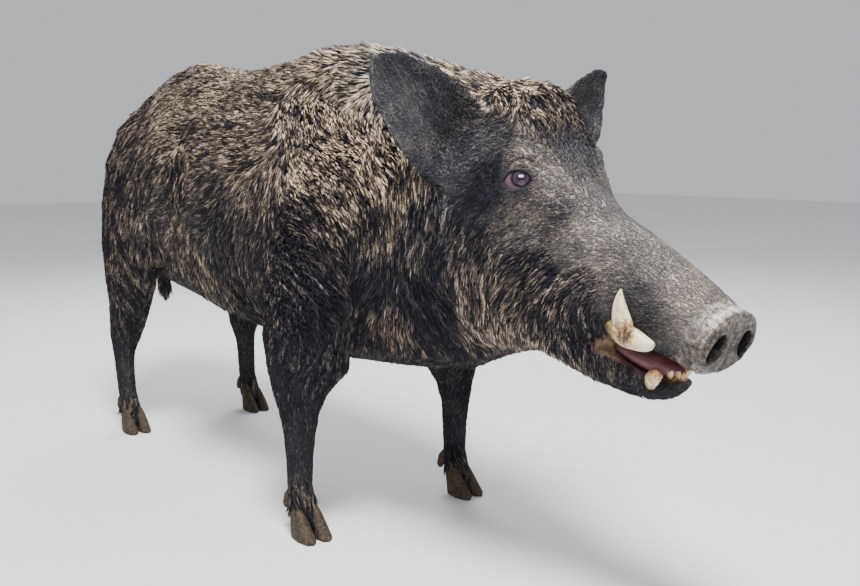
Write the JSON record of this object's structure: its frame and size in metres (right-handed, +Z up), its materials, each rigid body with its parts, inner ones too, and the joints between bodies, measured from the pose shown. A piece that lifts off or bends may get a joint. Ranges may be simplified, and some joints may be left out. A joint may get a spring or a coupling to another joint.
{
  "type": "wild boar",
  "caption": "Life-size adult male wild boar standing square on four cloven hooves, with a long wedge-shaped head, upright ears, curved tusks, parted jaws, a bristly coat and a hanging tail.",
  "frame": {"origin": "on the ground, at the middle of the boar's length and width, directly below the trunk", "axes": "+X forward, from tail to snout; +Y to the boar's left; +Z up"},
  "size_m": [1.7628, 0.4762, 0.872],
  "materials": {
    "coat": "coarse grizzled bristles over dark hide, matt",
    "snout": "bare grey wrinkled skin, slightly moist",
    "hoof": "dark worn horn, satin",
    "ivory": "stained ivory, satin",
    "eye": "wet dark eye, glossy",
    "mouth": "moist mauve-pink flesh"
  },
  "bodies": {
    "root": {"ear_left": "coat", "ear_right": "coat", "eye_left": "eye", "eye_right": "eye", "foreclaw_inner_left": "hoof", "foreclaw_inner_right": "hoof", "foreclaw_outer_left": "hoof", "foreclaw_outer_right": "hoof", "foredewclaw_inner_left": "hoof", "foredewclaw_inner_right": "hoof", "foredewclaw_outer_left": "hoof", "foredewclaw_outer_right": "hoof", "foreleg_lower_left": "coat", "foreleg_lower_right": "coat", "foreleg_upper_left": "coat", "foreleg_upper_right": "coat", "head": "coat", "hindclaw_inner_left": "hoof", "hindclaw_inner_right": "hoof", "hindclaw_outer_left": "hoof", "hindclaw_outer_right": "hoof", "hinddewclaw_inner_left": "hoof", "hinddewclaw_inner_right": "hoof", "hinddewclaw_outer_left": "hoof", "hinddewclaw_outer_right": "hoof", "hindleg_lower_left": "coat", "hindleg_lower_right": "coat", "hindleg_upper_left": "coat", "hindleg_upper_right": "coat", "lower_canine_left": "ivory", "lower_canine_right": "ivory", "lower_incisors": "ivory", "lower_jaw": "coat", "neck": "coat", "snout_disc": "snout", "tail": "coat", "tongue": "mouth", "trunk": "coat", "upper_tusk_left": "ivory", "upper_tusk_right": "ivory"}
  },
  "joints": []
}
